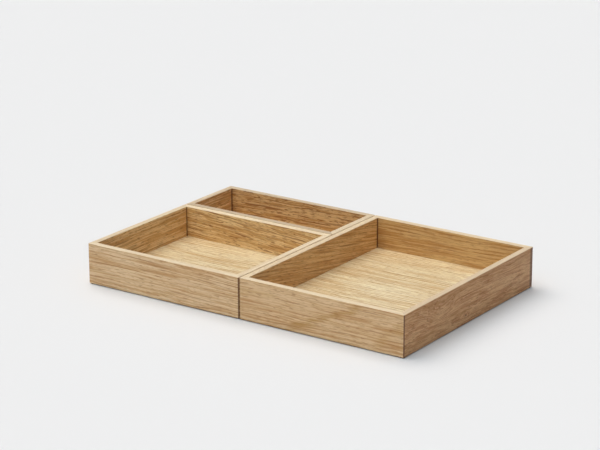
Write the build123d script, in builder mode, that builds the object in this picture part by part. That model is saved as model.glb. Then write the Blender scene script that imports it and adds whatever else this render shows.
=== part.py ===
from build123d import *

import os

# A drawer organizer insert in oak: three open trays that stand side by side on one grid.
# The large tray fills the right column. In the left column the medium tray takes the two front
# rows and the small tray the back row. Millimetres, +Z up, +X to the right, +Y to the back.
# The origin is under the middle of the insert, on the surface that it stands on.

# Grid that the trays stand on
column_pitch = 200.5
row_pitch = 86.5
rows_deep = 3
tray_gap = 1.0  # clearance between neighbouring trays, so that each one lifts out

# Walls
wall_thickness = 7.0
wall_height = 45.0
corner_radius = 0.8  # rounding of the outer upright corners
arris_radius = 0.5  # easing of the long top and bottom edges

# Floor panel, held in a groove that runs round inside the four walls
panel_thickness = 4.0
panel_recess = 6.0  # height of the panel's underside above the walls' bottom edges
groove_depth = 3.0
panel_edge_gap = 0.25  # room for the panel to swell inside the groove
panel_top_gap = 0.1

# Loose tongues glued across the mitres, hidden inside the corners
tongue_width = 6.0
tongue_thickness = 2.0
tongue_inset = 2.4  # from both inner wall faces to the tongue's centre
tongue_margin_below = 3.0  # above the floor panel
tongue_margin_above = 5.0  # below the rim
slot_gap = 0.1  # between a tongue and its slot, on every side

# Non-slip pads under the corners
pad_diameter = 5.5
pad_thickness = 0.8

# Heights above the surface that the trays stand on
wall_bottom = pad_thickness
wall_top = wall_bottom + wall_height
panel_bottom = wall_bottom + panel_recess
panel_top = panel_bottom + panel_thickness
tongue_bottom = panel_top + tongue_margin_below
tongue_top = wall_top - tongue_margin_above

# Each tray: its column, the first row that it covers and the row where it ends, front to back
trays = {
    "large_tray": (1, 0, 3),
    "medium_tray": (0, 0, 2),
    "small_tray": (0, 2, 3),
}

# Each wall: the direction that its outer face looks in
walls = {
    "front_wall": Vector(0, -1, 0),
    "right_wall": Vector(1, 0, 0),
    "back_wall": Vector(0, 1, 0),
    "left_wall": Vector(-1, 0, 0),
}

corners = [(1, 1), (1, -1), (-1, 1), (-1, -1)]  # signs of X and Y from a tray's centre


def tray_size(tray):
    """Outer width and depth of a tray: whole cells of the grid, less the gap."""
    column, first_row, end_row = trays[tray]
    return column_pitch - tray_gap, (end_row - first_row) * row_pitch - tray_gap


def tray_plane(tray, height):
    """Horizontal plane at a height, with its origin on the tray's upright centre line."""
    column, first_row, end_row = trays[tray]
    x = (column - 0.5) * column_pitch
    y = ((first_row + end_row) / 2 - rows_deep / 2) * row_pitch
    return Plane(origin=(x, y, height))


def save(piece, name):
    """Label a finished piece and write it as its own node."""
    piece.label = name
    export_step(piece, f"parts/{name}.step")


def tongue_plan(tray, gap):
    """Plan of a tray's four tongues, each square across its mitre, grown by a gap."""
    width, depth = tray_size(tray)
    for sign_x, sign_y in corners:
        x = sign_x * (width / 2 - wall_thickness + tongue_inset)
        y = sign_y * (depth / 2 - wall_thickness + tongue_inset)
        with Locations((x, y)):
            Rectangle(tongue_width + 2 * gap, tongue_thickness + 2 * gap, rotation=-45 * sign_x * sign_y)


def make_wall(tray, name):
    """One wall: its share of a grooved and slotted frame, cut off at 45 degrees at both ends."""
    width, depth = tray_size(tray)
    inner_width = width - 2 * wall_thickness
    inner_depth = depth - 2 * wall_thickness
    with BuildPart() as wall:
        with BuildSketch(tray_plane(tray, wall_bottom)):
            RectangleRounded(width, depth, corner_radius)
            Rectangle(inner_width, inner_depth, mode=Mode.SUBTRACT)
        extrude(amount=wall_height)
        fillet(wall.edges().filter_by(Plane.XY), radius=arris_radius)

        with BuildSketch(tray_plane(tray, panel_bottom)):
            Rectangle(inner_width + 2 * groove_depth, inner_depth + 2 * groove_depth)
        extrude(amount=panel_thickness + panel_top_gap, mode=Mode.SUBTRACT)

        with BuildSketch(tray_plane(tray, tongue_bottom - slot_gap)):
            tongue_plan(tray, slot_gap)
        extrude(amount=tongue_top - tongue_bottom + 2 * slot_gap, mode=Mode.SUBTRACT)

        outward = walls[name]
        along = outward.rotate(Axis.Z, 90)
        centre = tray_plane(tray, wall_bottom).origin
        split(bisect_by=Plane(origin=centre, z_dir=outward), keep=Keep.TOP)
        for end in (-1, 1):
            sign = outward + along * end
            corner = centre + Vector(sign.X * width / 2, sign.Y * depth / 2, 0)
            split(bisect_by=Plane(origin=corner, z_dir=outward - along * end), keep=Keep.TOP)
    save(wall.part, f"{tray}_{name}")


def make_floor_panel(tray):
    """The thin floor, which reaches into the groove on all four sides."""
    width, depth = tray_size(tray)
    shrink = 2 * (wall_thickness - groove_depth + panel_edge_gap)
    with BuildPart() as panel:
        with BuildSketch(tray_plane(tray, panel_bottom)):
            Rectangle(width - shrink, depth - shrink)
        extrude(amount=panel_thickness)
    save(panel.part, f"{tray}_floor_panel")


def make_corner_tongues(tray):
    """The four loose tongues that hold a tray's mitres together."""
    with BuildPart() as tongues:
        with BuildSketch(tray_plane(tray, tongue_bottom)):
            tongue_plan(tray, 0)
        extrude(amount=tongue_top - tongue_bottom)
    save(tongues.part, f"{tray}_corner_tongues")


def make_grip_pads(tray):
    """Four thin round pads, one under each corner, centred on the wall's thickness."""
    width, depth = tray_size(tray)
    with BuildPart() as pads:
        with BuildSketch(tray_plane(tray, 0)):
            with GridLocations(width - wall_thickness, depth - wall_thickness, 2, 2):
                Circle(pad_diameter / 2)
        extrude(amount=pad_thickness)
    save(pads.part, f"{tray}_grip_pads")


os.makedirs("parts", exist_ok=True)
for tray in trays:
    for name in walls:
        make_wall(tray, name)
    make_floor_panel(tray)
    make_corner_tongues(tray)
    make_grip_pads(tray)
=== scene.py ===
import math
from collections import namedtuple

import bpy
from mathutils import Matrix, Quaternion, Vector


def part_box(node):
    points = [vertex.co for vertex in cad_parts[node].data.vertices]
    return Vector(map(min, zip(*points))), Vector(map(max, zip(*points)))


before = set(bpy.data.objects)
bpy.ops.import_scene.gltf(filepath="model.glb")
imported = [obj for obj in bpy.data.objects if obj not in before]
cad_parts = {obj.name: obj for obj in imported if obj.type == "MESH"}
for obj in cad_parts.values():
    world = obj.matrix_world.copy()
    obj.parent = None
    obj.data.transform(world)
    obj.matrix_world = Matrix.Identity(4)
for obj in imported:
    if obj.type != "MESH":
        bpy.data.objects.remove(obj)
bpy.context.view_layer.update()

# Oak drawer organizer insert: three mitred trays in satin oak on a plain pale floor.
# Every piece is a CAD node, so this script gives each one its material, and adds light and camera.
# All lengths are in metres, and noise is measured in features per metre.

TRAYS = ("large_tray", "medium_tray", "small_tray")
WALL_OUTWARD = {
    "front_wall": (1, -1),
    "right_wall": (0, 1),
    "back_wall": (1, 1),
    "left_wall": (0, -1),
}  # which axis the outer face looks along (0 is X, 1 is Y), and which way

# Linear colours of the oak: light and deep growth, open pores, the painted highlight of the top edges,
# the mineral streaks (one broad band of them partly painted shade), the dark hearts of pin knots, and
# the dark line of a mitre, a glue line that some boards widen into painted shade
OAK_LIGHT = (0.82, 0.60, 0.33)
OAK_DEEP = (0.60, 0.345, 0.135)
PORE = (0.30, 0.125, 0.038)
RIM_HIGHLIGHT = (0.94, 0.80, 0.56)
MINERAL_AND_SHADE = (0.54, 0.315, 0.095)
KNOT = (0.13, 0.06, 0.025)
GLUE_AND_SHADE = (0.115, 0.040, 0.016)

# How much of each colour shows where it is at its strongest
PORE_SHARE = 0.65
RIM_HIGHLIGHT_SHARE = 0.6
KNOT_SHARE = 0.8
GLUE_AND_SHADE_SHARE = 0.8

# Noise: features per metre along the board, up it and into it, what is added to the board's seed,
# and how many finer layers it has
Noise = namedtuple("Noise", "scale seed detail")
WANDER = Noise((9, 42, 42), 0, 2.0)
RIPPLE = Noise((40, 170, 170), 20, 2.0)
FIBRE = Noise((14, 640, 640), 40, 3.0)
BAND = Noise((8, 150, 150), 60, 2.0)
CLOUD = Noise((7, 45, 45), 80, 2.0)
DASHES = Noise((16, 620, 620), 100, 1.0)
TICKS = Noise((130, 800, 800), 120, 1.0)
HAIRS = Noise((120, 2200, 2200), 140, 1.0)
NOISE_MEAN = 0.5
SEED_STEP = (1.37, 2.11, 0.73)  # how far one seed moves the noise along each axis

# Between which two values of its noise each of these goes from its least to its most
FIBRE_STEP = (0.38, 0.62)
BAND_STEP = (0.30, 0.70)
CLOUD_STEP = (0.25, 0.75)
DASHES_STEP = (0.58, 0.66)
TICKS_STEP = (0.55, 0.66)
HAIRS_STEP = (0.58, 0.68)

# A year's ring, as shares of the year: its early wood begins and ends between these
EARLY_BEGINS = (0.0, 0.10)
EARLY_ENDS = (0.18, 0.60)

# The oak's tone, from 0 for light growth to 1 for deep growth: its middle, what late wood takes off
# and early wood adds to that, and how far the year, the fibres, the bands and the clouds sway it
TONE_MIDDLE = 0.42
TONE_LATE = -0.12
TONE_EARLY = 0.30
TONE_YEAR = 0.14
TONE_FIBRE = 0.42
TONE_BAND = 0.16
TONE_CLOUD = 0.20

RIPPLE_HEIGHT = 0.0014  # how far the finer ripple moves the rings
LATE_PORES = 0.50  # how open the pores of late wood are beside those of early wood
HAIR_PORES = 0.5  # how open the finest pores are

# Distances along the board count this much towards a knot, so that it is longer than it is high.
# Its heart is fully dark out to a share of its radius, and fades out just past the radius.
KNOT_ALONG = 0.4
HEART_CORE = 0.5
HEART_RIM = 0.0001

# A streak fades in and out over this length, strays from its course with the rings, and shows this
# much on the palest fibres
STREAK_FADE = 0.015
STREAK_WANDER = 0.006
STREAK_RIPPLE = 0.016
STREAK_ON_PALE = 0.45

# The painted highlight of the top edge starts this far below it and is full this far below it
RIM_HIGHLIGHT_STARTS = 0.0008
RIM_HIGHLIGHT_FULL = 0.0001

# The dark mitre line is a glue line, which some boards widen into painted shade.
GLUE_AND_SHADE_CORE = 0.6  # share of the glue line's width that is fully dark
MITRE = math.radians(45)

# Satin oil: its roughness, what open pores add to it, its gloss, and the relief of the fibres
OIL_ROUGHNESS = 0.42
PORE_ROUGHNESS = 0.25
OIL_SPECULAR = 0.35
FIBRE_RELIEF = 0.35
GRAIN_BUMP = 0.35
GRAIN_DEPTH = 0.0002

# The hidden tongues' raw oak and the pads' rubber: linear colours, and their mottle and relief
RAW_OAK = (0.62, 0.45, 0.27)
PAD_RUBBER = (0.09, 0.08, 0.07)
MOTTLE_SEED = 5
MOTTLE_DETAIL = 3.0
MOTTLE_ROUGHNESS = 0.2
MOTTLE_BUMP = 0.3
MOTTLE_DEPTH = 0.0001

# A streak of mineral colour, which also serves for one broad band of painted shade: its height where
# it crosses the board's middle, its slope, the stretch of the board that it runs along, half its width,
# and its strength from 0 to 1
Streak = namedtuple("Streak", "height slope start stop width strength")

# A knot: its place along and up the board, how far from it the grain bends, by how much, and the
# radius of its dark heart
Knot = namedtuple("Knot", "along up reach bulge heart")

# Where a board was cut from its log, and how it looks:
#   seed     offsets the noise, so that no two boards match
#   ring     distance between growth rings
#   pith     height above the board's lower edge, and depth behind its face, of the log's centre
#   slope    how fast the log's centre climbs and sinks along the board
#   waves    how far the rings wander
#    tint  factor on the oak's colours: the board's own tone, and painted light and shade
#                    that lightens or darkens a face by how the light falls on it
#   figure   contrast of the grain
#    rim  factor on the painted highlight of the top edge, for the light and sheen on it
#    glue  how wide the dark mitre line shows at the board's low and high end: a glue line,
#                    widened on some boards into painted shade at corners and at the seam between trays
Board = namedtuple(
    "Board",
    "seed ring pith slope waves tint figure rim glue streaks knots",
    defaults=((1.0, 1.0, 1.0), 1.0, 0.9, (0.0005, 0.0005), (), ()),
)

FLOOR_TINT = (1.01, 1.17, 1.34)
FLOOR_FIGURE = 0.85

# Some tints are painted light and shade on top of the board's own tone: the inner left faces are lightened,
# and the large tray's right face darkened and browned, by how the light falls on them.
BOARDS = {
    "large_tray_front_wall": Board(
        seed=1, ring=0.0034, pith=(-0.035, 0.060), slope=(0.010, 0.015), waves=0.0040,
        tint=(0.86, 0.835, 0.845), figure=0.86, rim=0.94,
        streaks=(
            Streak(0.0188, 0.47, -0.055, 0.055, 0.0070, 1.00),
            Streak(-0.0400, 0.72, 0.060, 0.110, 0.0100, 0.60),
            Streak(0.0380, 0.05, -0.110, -0.050, 0.0080, 0.35),
        ),
    ),
    "large_tray_right_wall": Board(
        seed=2, ring=0.0036, pith=(0.020, 0.040), slope=(-0.050, 0.050), waves=0.0110,
        tint=(0.80, 0.625, 0.495), figure=1.15, rim=0.88, glue=(0.0016, 0.0050),
        streaks=(
            # Partly darker wood, partly painted shade: a broad band that darkens the top half of this face.
            Streak(0.0450, 0.00, -0.160, 0.160, 0.0220, 0.90),
            Streak(0.0170, 0.07, -0.135, 0.010, 0.0024, 0.80),
            Streak(0.0165, 0.60, -0.004, 0.034, 0.0036, 0.70),
            Streak(0.0400, 0.00, -0.095, -0.015, 0.0070, 0.60),
            Streak(0.0440, 0.25, -0.092, -0.060, 0.0050, 0.60),
        ),
        knots=(
            Knot(-0.0100, 0.0090, 0.006, 0.005, 0.0010),
            Knot(-0.0600, 0.0300, 0.016, 0.007, 0.0),
        ),
    ),
    "large_tray_back_wall": Board(
        seed=3, ring=0.0028, pith=(-0.060, 0.090), slope=(0.030, 0.010), waves=0.0050,
        tint=(0.84, 0.77, 0.60), figure=0.90, rim=0.90,
    ),
    "large_tray_left_wall": Board(
        seed=4, ring=0.0030, pith=(0.080, 0.060), slope=(-0.180, 0.010), waves=0.0060,
        tint=(1.03, 0.94, 0.77), figure=1.0, rim=0.84, glue=(0.0017, 0.0017),
    ),
    "medium_tray_front_wall": Board(
        seed=5, ring=0.0026, pith=(-0.050, 0.080), slope=(-0.010, 0.010), waves=0.0050,
        tint=(0.895, 0.90, 0.96), figure=0.82, rim=0.93, glue=(0.0005, 0.0010),
        streaks=(Streak(0.0100, -0.03, -0.110, 0.020, 0.0035, 0.25),),
    ),
    "medium_tray_right_wall": Board(
        seed=6, ring=0.0024, pith=(-0.070, 0.080), slope=(0.010, 0.010), waves=0.0030,
        rim=0.88,
    ),
    "medium_tray_back_wall": Board(
        seed=7, ring=0.0030, pith=(-0.030, 0.060), slope=(-0.060, 0.010), waves=0.0090,
        tint=(1.01, 1.02, 0.92), figure=1.5, rim=1.04,
    ),
    "medium_tray_left_wall": Board(
        seed=8, ring=0.0026, pith=(0.090, 0.050), slope=(0.010, 0.010), waves=0.0060,
        tint=(1.14, 1.13, 1.05), figure=1.1, rim=0.74, glue=(0.0010, 0.0010),
    ),
    "small_tray_front_wall": Board(
        seed=9, ring=0.0024, pith=(-0.070, 0.080), slope=(0.010, 0.010), waves=0.0030,
        tint=(0.88, 0.80, 0.74), figure=1.0, rim=0.56,
    ),
    "small_tray_right_wall": Board(
        seed=10, ring=0.0024, pith=(-0.080, 0.080), slope=(0.010, 0.010), waves=0.0030,
        rim=0.79,
    ),
    "small_tray_back_wall": Board(
        seed=11, ring=0.0028, pith=(0.070, 0.060), slope=(0.020, 0.010), waves=0.0070,
        tint=(0.86, 0.78, 0.65), figure=2.0, rim=0.66,
    ),
    "small_tray_left_wall": Board(
        seed=12, ring=0.0024, pith=(-0.060, 0.070), slope=(0.010, 0.010), waves=0.0050,
        tint=(1.10, 1.04, 1.00), figure=1.1, rim=0.64, glue=(0.0017, 0.0017),
    ),
    "large_tray_floor_panel": Board(
        seed=13, ring=0.0040, pith=(-0.250, 0.120), slope=(0.010, 0.010), waves=0.0050,
        tint=FLOOR_TINT, figure=FLOOR_FIGURE,
    ),
    "medium_tray_floor_panel": Board(
        seed=14, ring=0.0040, pith=(0.300, 0.120), slope=(0.010, 0.010), waves=0.0050,
        tint=FLOOR_TINT, figure=FLOOR_FIGURE,
    ),
    "small_tray_floor_panel": Board(
        seed=15, ring=0.0040, pith=(-0.250, 0.120), slope=(0.010, 0.010), waves=0.0040,
        tint=FLOOR_TINT, figure=FLOOR_FIGURE,
    ),
}

# Sockets of a Mix node that mixes colours
MIX_SHARE = 0
MIX_FIRST = 6
MIX_SECOND = 7
MIX_RESULT = 2


class Tree:
    """Short calls that add nodes to one material."""

    def __init__(self, name):
        self.material = bpy.data.materials.new(name)
        self.material.use_nodes = True
        self.nodes = self.material.node_tree.nodes
        self.links = self.material.node_tree.links
        self.shader = self.nodes["Principled BSDF"]

    def put(self, socket, value):
        """Set a socket to a constant, or link it to another node's output."""
        if isinstance(value, bpy.types.NodeSocket):
            self.links.new(value, socket)
        else:
            socket.default_value = value

    def add(self, kind, inputs, **settings):
        """A node with its settings and inputs."""
        node = self.nodes.new(kind)
        for name, value in settings.items():
            setattr(node, name, value)
        for name, value in inputs.items():
            self.put(node.inputs[name], value)
        return node

    def math(self, operation, *values):
        return self.add("ShaderNodeMath", dict(enumerate(values)), operation=operation).outputs[0]

    def ramp(self, value, low, high, to_low=0.0, to_high=1.0):
        """Smooth step of a value between two limits."""
        inputs = {"Value": value, "From Min": low, "From Max": high, "To Min": to_low, "To Max": to_high}
        return self.add("ShaderNodeMapRange", inputs, interpolation_type="SMOOTHSTEP").outputs["Result"]

    def position(self):
        """Place in the row of trays, which a lifted tray carries with it."""
        return self.nodes.new("ShaderNodeTexCoord").outputs["Object"]

    def vector(self, x, y, z):
        return self.add("ShaderNodeCombineXYZ", {"X": x, "Y": y, "Z": z}).outputs[0]

    def noise(self, place, noise, seed):
        """Noise from 0 to 1 with its own scale along each axis."""
        offset = tuple((seed + noise.seed) * step for step in SEED_STEP)
        inputs = {0: place, 1: noise.scale, 2: offset}
        moved = self.add("ShaderNodeVectorMath", inputs, operation="MULTIPLY_ADD").outputs[0]
        inputs = {"Vector": moved, "Scale": 1.0, "Detail": noise.detail}
        return self.add("ShaderNodeTexNoise", inputs).outputs["Fac"]

    def mix(self, share, first, second):
        """Two colours mixed, from all of the first at 0 to all of the second at 1."""
        node = self.add("ShaderNodeMix", {MIX_SHARE: share}, data_type="RGBA")
        for socket, colour in ((MIX_FIRST, first), (MIX_SECOND, second)):
            plain = isinstance(colour, tuple)
            self.put(node.inputs[socket], (*colour, 1) if plain else colour)
        return node.outputs[MIX_RESULT]


def scaled(colour, factors):
    """A colour with each part multiplied by its own factor."""
    return tuple(part * factor for part, factor in zip(colour, factors))


def tray_box(tray):
    """Lowest and highest corner of a tray's four walls."""
    boxes = [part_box(f"{tray}_{wall}") for wall in WALL_OUTWARD]
    low = Vector(min(box[0][k] for box in boxes) for k in range(3))
    high = Vector(max(box[1][k] for box in boxes) for k in range(3))
    return low, high


def wall_place(tree, tray, wall):
    """A wall's own coordinates: along it from its middle, up from its lower edge, and in from its face.
    Also returns half its length on the outside, and its height."""
    low, high = tray_box(tray)
    across_axis, sign = WALL_OUTWARD[wall]
    along_axis = 1 - across_axis
    face = high[across_axis] if sign > 0 else low[across_axis]
    axes = tree.add("ShaderNodeSeparateXYZ", {0: tree.position()}).outputs
    along = tree.math("SUBTRACT", axes[along_axis], (low[along_axis] + high[along_axis]) / 2)
    up = tree.math("SUBTRACT", axes[2], low.z)
    inward = tree.math("MULTIPLY_ADD", axes[across_axis], -sign, sign * face)
    return along, up, inward, (high[along_axis] - low[along_axis]) / 2, high.z - low.z


def floor_place(tree, node):
    """A floor panel's coordinates: along X from its middle, back from its front edge, and down."""
    low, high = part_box(node)
    axes = tree.add("ShaderNodeSeparateXYZ", {0: tree.position()}).outputs
    along = tree.math("SUBTRACT", axes[0], (low.x + high.x) / 2)
    back = tree.math("SUBTRACT", axes[1], low.y)
    down = tree.math("MULTIPLY_ADD", axes[2], -1, high.z)
    return along, back, down


def knot_shape(tree, knot, along, up):
    """How far the rings bulge round a knot, and its dark heart from 0 to 1."""
    aside = tree.math("MULTIPLY_ADD", along, KNOT_ALONG, -KNOT_ALONG * knot.along)
    above = tree.math("SUBTRACT", up, knot.up)
    offset = tree.vector(aside, above, 0)
    away = tree.add("ShaderNodeVectorMath", {0: offset}, operation="LENGTH").outputs["Value"]
    bulge = tree.ramp(away, 0.0, knot.reach, knot.bulge, 0.0)
    heart = tree.ramp(away, HEART_CORE * knot.heart, knot.heart + HEART_RIM, 1.0, 0.0)
    return bulge, heart


def streak_share(tree, streak, along, up, stray, fibre):
    """How strongly a streak colours the board: most on its ragged course, 0 beside and beyond it.
    Most streaks are mineral; one broad band on the large tray's right face is partly painted shade.
    """
    course = tree.math("MULTIPLY_ADD", along, streak.slope, streak.height)
    off = tree.math("ABSOLUTE", tree.math("SUBTRACT", up, tree.math("ADD", course, stray)))
    near = tree.ramp(off, 0.0, streak.width, streak.strength, 0.0)
    begun = tree.ramp(along, streak.start, streak.start + STREAK_FADE)
    ended = tree.ramp(along, streak.stop - STREAK_FADE, streak.stop, 1.0, 0.0)
    share = tree.math("MULTIPLY", near, tree.math("MULTIPLY", begun, ended))
    return tree.math("MULTIPLY", share, tree.ramp(fibre, *FIBRE_STEP, STREAK_ON_PALE, 1.0))


def place_in_log(tree, board, along, up, inward, bend):
    """Height above the pith and depth behind it, where the rings are bent by this much."""
    climb = tree.math("MULTIPLY_ADD", along, board.slope[0], board.pith[0])
    sink = tree.math("MULTIPLY_ADD", along, board.slope[1], board.pith[1])
    above = tree.math("ADD", tree.math("SUBTRACT", up, climb), bend)
    behind = tree.math("ADD", tree.math("SUBTRACT", sink, inward), bend)
    return above, behind


def growth(tree, ring, above, behind):
    """A random value for each year, and 1 in the pore-rich early wood of a ring, 0 in its late wood."""
    squares = tree.math(
        "ADD", tree.math("MULTIPLY", above, above), tree.math("MULTIPLY", behind, behind)
    )
    rings = tree.math("DIVIDE", tree.math("SQRT", squares), ring)
    age = tree.math("FRACT", rings)
    year = tree.add("ShaderNodeTexWhiteNoise", {"W": tree.math("FLOOR", rings)}, noise_dimensions="1D")
    begun = tree.ramp(age, *EARLY_BEGINS)
    ended = tree.ramp(age, *EARLY_ENDS, 1.0, 0.0)
    return year.outputs["Value"], tree.math("MULTIPLY", begun, ended)


def tone_of(tree, figure, year, early, fibre, band, cloud):
    """How deep the oak's colour is, from 0 for light growth to 1 for deep growth."""
    tone = tree.math("MULTIPLY_ADD", early, TONE_EARLY, TONE_LATE)
    tone = tree.math("MULTIPLY_ADD", year, TONE_YEAR, tone)
    tone = tree.math("ADD", tone, tree.ramp(fibre, *FIBRE_STEP, -TONE_FIBRE, TONE_FIBRE))
    tone = tree.math("ADD", tone, tree.ramp(band, *BAND_STEP, -TONE_BAND, TONE_BAND))
    tone = tree.math("ADD", tone, tree.ramp(cloud, *CLOUD_STEP, -TONE_CLOUD, TONE_CLOUD))
    return tree.math("MULTIPLY_ADD", tone, figure, TONE_MIDDLE)


def pores_of(tree, grain, seed, early):
    """How open the grain is, from 0 to 1: long dashes, short ticks and fine hairs that follow it."""
    dashes = tree.ramp(tree.noise(grain, DASHES, seed), *DASHES_STEP)
    ticks = tree.ramp(tree.noise(grain, TICKS, seed), *TICKS_STEP)
    openness = tree.math("MULTIPLY_ADD", early, 1 - LATE_PORES, LATE_PORES)
    pores = tree.math("MULTIPLY", tree.math("MAXIMUM", dashes, ticks), openness)
    hairs = tree.ramp(tree.noise(grain, HAIRS, seed), *HAIRS_STEP, 0.0, HAIR_PORES)
    return tree.math("MAXIMUM", pores, hairs)


def oak(tree, board, along, up, inward):
    """Oak cut from a log: rings round the pith, tone that wanders, and pores that follow the grain.
    Returns the colour, how open the grain is from 0 to 1, and the fibres' own light and dark."""
    place = tree.vector(along, up, inward)
    wander = tree.math("SUBTRACT", tree.noise(place, WANDER, board.seed), NOISE_MEAN)
    ripple = tree.math("SUBTRACT", tree.noise(place, RIPPLE, board.seed), NOISE_MEAN)
    waves = tree.math("MULTIPLY", wander, board.waves)
    bend = tree.math("ADD", waves, tree.math("MULTIPLY", ripple, RIPPLE_HEIGHT))
    hearts = 0.0
    for knot in board.knots:
        bulge, heart = knot_shape(tree, knot, along, up)
        bend = tree.math("ADD", bend, bulge)
        hearts = tree.math("MAXIMUM", hearts, heart)

    above, behind = place_in_log(tree, board, along, up, inward, bend)
    year, early = growth(tree, board.ring, above, behind)
    grain = tree.vector(along, above, behind)
    fibre = tree.noise(grain, FIBRE, board.seed)
    band = tree.noise(grain, BAND, board.seed)
    cloud = tree.noise(place, CLOUD, board.seed)
    tone = tone_of(tree, board.figure, year, early, fibre, band, cloud)
    pores = pores_of(tree, grain, board.seed, early)

    # The tint is partly painted light and shade, lightening or darkening a face by how it is lit.
    light = scaled(OAK_LIGHT, board.tint)
    deep = scaled(OAK_DEEP, board.tint)
    mineral_and_shade = scaled(MINERAL_AND_SHADE, board.tint)
    colour = tree.mix(tree.ramp(tone, 0.0, 1.0), light, deep)
    stray = tree.math("MULTIPLY_ADD", wander, STREAK_WANDER, tree.math("MULTIPLY", ripple, STREAK_RIPPLE))
    for streak in board.streaks:
        colour = tree.mix(streak_share(tree, streak, along, up, stray, fibre), colour, mineral_and_shade)
    colour = tree.mix(tree.math("MULTIPLY", pores, PORE_SHARE * board.figure), colour, PORE)
    if board.knots:
        colour = tree.mix(tree.math("MULTIPLY", hearts, KNOT_SHARE), colour, KNOT)
    return colour, pores, fibre


def finish_oak(tree, colour, pores, fibre):
    """Satin oil on the surface: open pores are rougher and lie a little deeper."""
    relief = tree.math("SUBTRACT", tree.math("MULTIPLY", fibre, FIBRE_RELIEF), pores)
    inputs = {"Height": relief, "Strength": GRAIN_BUMP, "Distance": GRAIN_DEPTH}
    bump = tree.add("ShaderNodeBump", inputs)
    tree.put(tree.shader.inputs["Base Color"], colour)
    roughness = tree.math("MULTIPLY_ADD", pores, PORE_ROUGHNESS, OIL_ROUGHNESS)
    tree.put(tree.shader.inputs["Roughness"], roughness)
    tree.put(tree.shader.inputs["Normal"], bump.outputs["Normal"])
    tree.put(tree.shader.inputs["Specular IOR Level"], OIL_SPECULAR)


def glue_and_shade_line(tree, glue, along, inward, half):
    """How dark the mitre line is, from 0 to 1, where the wall meets its neighbours at 45 degrees.
    It is a glue line, which some boards widen into painted shade.
    """
    to_end = tree.math("SUBTRACT", half, tree.math("ABSOLUTE", along))
    to_mitre = tree.math("MULTIPLY", tree.math("SUBTRACT", to_end, inward), math.cos(MITRE))
    low_end, high_end = glue
    at_high_end = tree.math("GREATER_THAN", along, 0.0)
    width = tree.math("MULTIPLY_ADD", at_high_end, high_end - low_end, low_end)
    return tree.ramp(to_mitre, tree.math("MULTIPLY", width, GLUE_AND_SHADE_CORE), width, GLUE_AND_SHADE_SHARE, 0.0)


def wall_material(tray, wall):
    """Oak with a painted highlight on its top edge, and below that a dark line at each mitre:
    a glue line, which some boards widen into painted shade.
    """
    name = f"{tray}_{wall}"
    board = BOARDS[name]
    tree = Tree(f"oak_{name}")
    along, up, inward, half, height = wall_place(tree, tray, wall)
    colour, pores, fibre = oak(tree, board, along, up, inward)
    # Painted highlight: the top edge and its rounded arris are painted pale, for the light and sheen on
    # them.
    rim = tree.ramp(up, height - RIM_HIGHLIGHT_STARTS, height - RIM_HIGHLIGHT_FULL)
    painted_highlight = tuple(part * board.rim for part in RIM_HIGHLIGHT)
    colour = tree.mix(tree.math("MULTIPLY", rim, RIM_HIGHLIGHT_SHARE), colour, painted_highlight)
    # Dark mitre line: a glue line, widened on some boards into painted shade at corners and at the seam
    # between trays.
    line = glue_and_shade_line(tree, board.glue, along, inward, half)
    line = tree.math("MULTIPLY", line, tree.math("SUBTRACT", 1.0, rim))
    finish_oak(tree, tree.mix(line, colour, GLUE_AND_SHADE), pores, fibre)
    return tree.material


def floor_material(tray):
    """Oak whose grain runs along X, as the floor panels' does in the photo."""
    name = f"{tray}_floor_panel"
    tree = Tree(f"oak_{name}")
    finish_oak(tree, *oak(tree, BOARDS[name], *floor_place(tree, name)))
    return tree.material


def plain_material(name, colour, darkest, scale, roughness):
    """Mottled material for the hidden tongues and the pads."""
    tree = Tree(name)
    mottle = tree.noise(tree.position(), Noise(scale, MOTTLE_SEED, MOTTLE_DETAIL), 0)
    darker = tuple(part * darkest for part in colour)
    tree.put(tree.shader.inputs["Base Color"], tree.mix(mottle, colour, darker))
    rough = tree.math("MULTIPLY_ADD", mottle, MOTTLE_ROUGHNESS, roughness)
    tree.put(tree.shader.inputs["Roughness"], rough)
    inputs = {"Height": mottle, "Strength": MOTTLE_BUMP, "Distance": MOTTLE_DEPTH}
    bump = tree.add("ShaderNodeBump", inputs)
    tree.put(tree.shader.inputs["Normal"], bump.outputs["Normal"])
    return tree.material


def dress(node, material):
    """Give a CAD node its material."""
    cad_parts[node].material_slots[0].material = material


# Stage: a round pale floor, and a pale dome that the camera and reflections see but that gives no light
STAGE_RADIUS = 12.0
FLOOR_ALBEDO = 0.80
BACKDROP = 0.863
DOME_STEPS = 48


def make_floor():
    """A round floor of one face, in a plain pale colour."""
    ring = []
    for step in range(DOME_STEPS):
        angle = step * math.tau / DOME_STEPS
        ring.append((STAGE_RADIUS * math.cos(angle), STAGE_RADIUS * math.sin(angle), 0))
    mesh = bpy.data.meshes.new("stage_floor")
    mesh.from_pydata(ring, [], [tuple(range(DOME_STEPS))])
    floor = bpy.data.objects.new("stage_floor", mesh)
    bpy.context.scene.collection.objects.link(floor)
    material = bpy.data.materials.new("stage_floor")
    material.use_nodes = True
    nodes = material.node_tree.nodes
    diffuse = nodes.new("ShaderNodeBsdfDiffuse")
    diffuse.inputs["Color"].default_value = (FLOOR_ALBEDO, FLOOR_ALBEDO, FLOOR_ALBEDO, 1)
    material.node_tree.links.new(diffuse.outputs[0], nodes["Material Output"].inputs["Surface"])
    floor.data.materials.append(material)
    return floor


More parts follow.
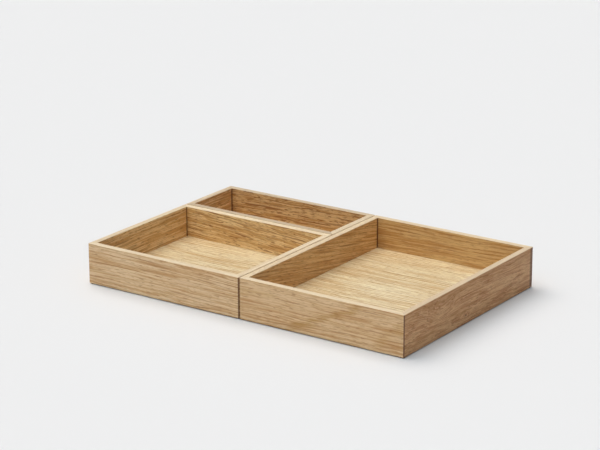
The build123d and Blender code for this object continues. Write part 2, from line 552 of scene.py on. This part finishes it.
def make_dome():
    """A glowing backdrop all round that shows in reflections but throws no light on the floor."""
    bpy.ops.mesh.primitive_uv_sphere_add(
        segments=DOME_STEPS, ring_count=DOME_STEPS // 2, radius=STAGE_RADIUS
    )
    dome = bpy.context.object
    dome.name = "stage_dome"
    material = bpy.data.materials.new("stage_dome")
    material.use_nodes = True
    nodes = material.node_tree.nodes
    glow = nodes.new("ShaderNodeEmission")
    glow.inputs["Color"].default_value = (BACKDROP, BACKDROP, BACKDROP, 1)
    material.node_tree.links.new(glow.outputs[0], nodes["Material Output"].inputs["Surface"])
    dome.data.materials.append(material)
    dome.visible_diffuse = False
    dome.visible_shadow = False
    dome.visible_transmission = False
    return dome


# Soft lamps: name, strength, how many degrees of the sky they span, the direction to them, and colour.
# As in a retouched photo, the stage and the insert have lamps of their own. The stage's lamps are
# tinted so that the shadows come out neutral beside the warm oak.
Lamp = namedtuple("Lamp", "name strength degrees_across to_light colour")
STAGE_LAMPS = (
    Lamp("floor_top", 0.75, 68, (-0.29, 0.05, 1.0), (1.04, 1.0, 0.95)),
    Lamp("floor_sky", 0.80, 150, (0.0, 0.0, 1.0), (1.07, 1.0, 0.92)),
    Lamp("floor_front", 0.50, 60, (0.0, -0.5, 1.0), (0.53, 1.0, 1.34)),
    Lamp("floor_left", 1.32, 50, (-0.55, 0.10, 1.0), (1.125, 1.0, 0.92)),
)
INSERT_LAMPS = (
    Lamp("key", 3.02, 68, (-0.10, -0.30, 1.0), (1.0, 0.998, 0.990)),
    Lamp("fill", 0.10, 60, (-0.35, -0.85, 0.45), (1.0, 1.0, 1.0)),
)
WORLD_COLOUR = (0.86, 0.96, 1.15, 1)
WORLD_STRENGTH = 0.09


def make_sun(lamp, lit):
    """A distant lamp that lights only the things in a group."""
    sun = bpy.data.lights.new(lamp.name, "SUN")
    sun.energy = lamp.strength
    sun.angle = math.radians(lamp.degrees_across)
    sun.color = lamp.colour
    thing = bpy.data.objects.new(lamp.name, sun)
    bpy.context.scene.collection.objects.link(thing)
    thing.rotation_mode = "QUATERNION"
    thing.rotation_quaternion = Vector(lamp.to_light).to_track_quat("Z", "Y")
    thing.light_linking.receiver_collection = lit


def group(name, things):
    """A collection of objects that lamps can be limited to."""
    made = bpy.data.collections.new(name)
    for thing in things:
        made.objects.link(thing)
    return made


def make_lights(stage):
    """Faint bluish light all round, and the lamps of the insert and of the stage."""
    world = bpy.data.worlds.new("world")
    bpy.context.scene.world = world
    world.use_nodes = True
    background = world.node_tree.nodes["Background"]
    background.inputs["Color"].default_value = WORLD_COLOUR
    background.inputs["Strength"].default_value = WORLD_STRENGTH
    lit_insert = group("lit_insert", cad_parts.values())
    lit_stage = group("lit_stage", stage)
    for lamp in STAGE_LAMPS:
        make_sun(lamp, lit_stage)
    for lamp in INSERT_LAMPS:
        make_sun(lamp, lit_insert)


# Camera: where the insert is seen from, as angles and a distance to a point just behind its middle
CAMERA_AZIMUTH = math.radians(34.658)
CAMERA_ELEVATION = math.radians(17.751)
CAMERA_ROLL = math.radians(-0.10)
CAMERA_DISTANCE = 2.5868
CAMERA_TARGET = Vector((-0.0900, 0.1114, 0.0225))
CAMERA_LENS = 137.04  # in millimetres, as is the sensor's width
SENSOR_WIDTH = 36.0


def make_camera():
    """A long lens that looks down on the insert's front right corner, as in the photo."""
    data = bpy.data.cameras.new("camera")
    data.lens = CAMERA_LENS
    data.sensor_width = SENSOR_WIDTH
    camera = bpy.data.objects.new("camera", data)
    bpy.context.scene.collection.objects.link(camera)
    back = Vector(
        (
            math.sin(CAMERA_AZIMUTH) * math.cos(CAMERA_ELEVATION),
            -math.cos(CAMERA_AZIMUTH) * math.cos(CAMERA_ELEVATION),
            math.sin(CAMERA_ELEVATION),
        )
    )
    camera.location = CAMERA_TARGET + back * CAMERA_DISTANCE
    camera.rotation_mode = "QUATERNION"
    level = back.to_track_quat("Z", "Y")
    camera.rotation_quaternion = level @ Quaternion((0, 0, 1), CAMERA_ROLL)
    bpy.context.scene.camera = camera


make_camera()
make_lights([make_floor(), make_dome()])
raw_oak = plain_material("raw_oak", RAW_OAK, darkest=0.7, scale=(60, 900, 900), roughness=0.6)
pad_rubber = plain_material("pad_rubber", PAD_RUBBER, darkest=0.6, scale=(900, 900, 900), roughness=0.65)
for tray in TRAYS:
    for wall in WALL_OUTWARD:
        dress(f"{tray}_{wall}", wall_material(tray, wall))
    dress(f"{tray}_floor_panel", floor_material(tray))
    dress(f"{tray}_corner_tongues", raw_oak)
    dress(f"{tray}_grip_pads", pad_rubber)
bpy.context.scene.view_settings.view_transform = "Standard"
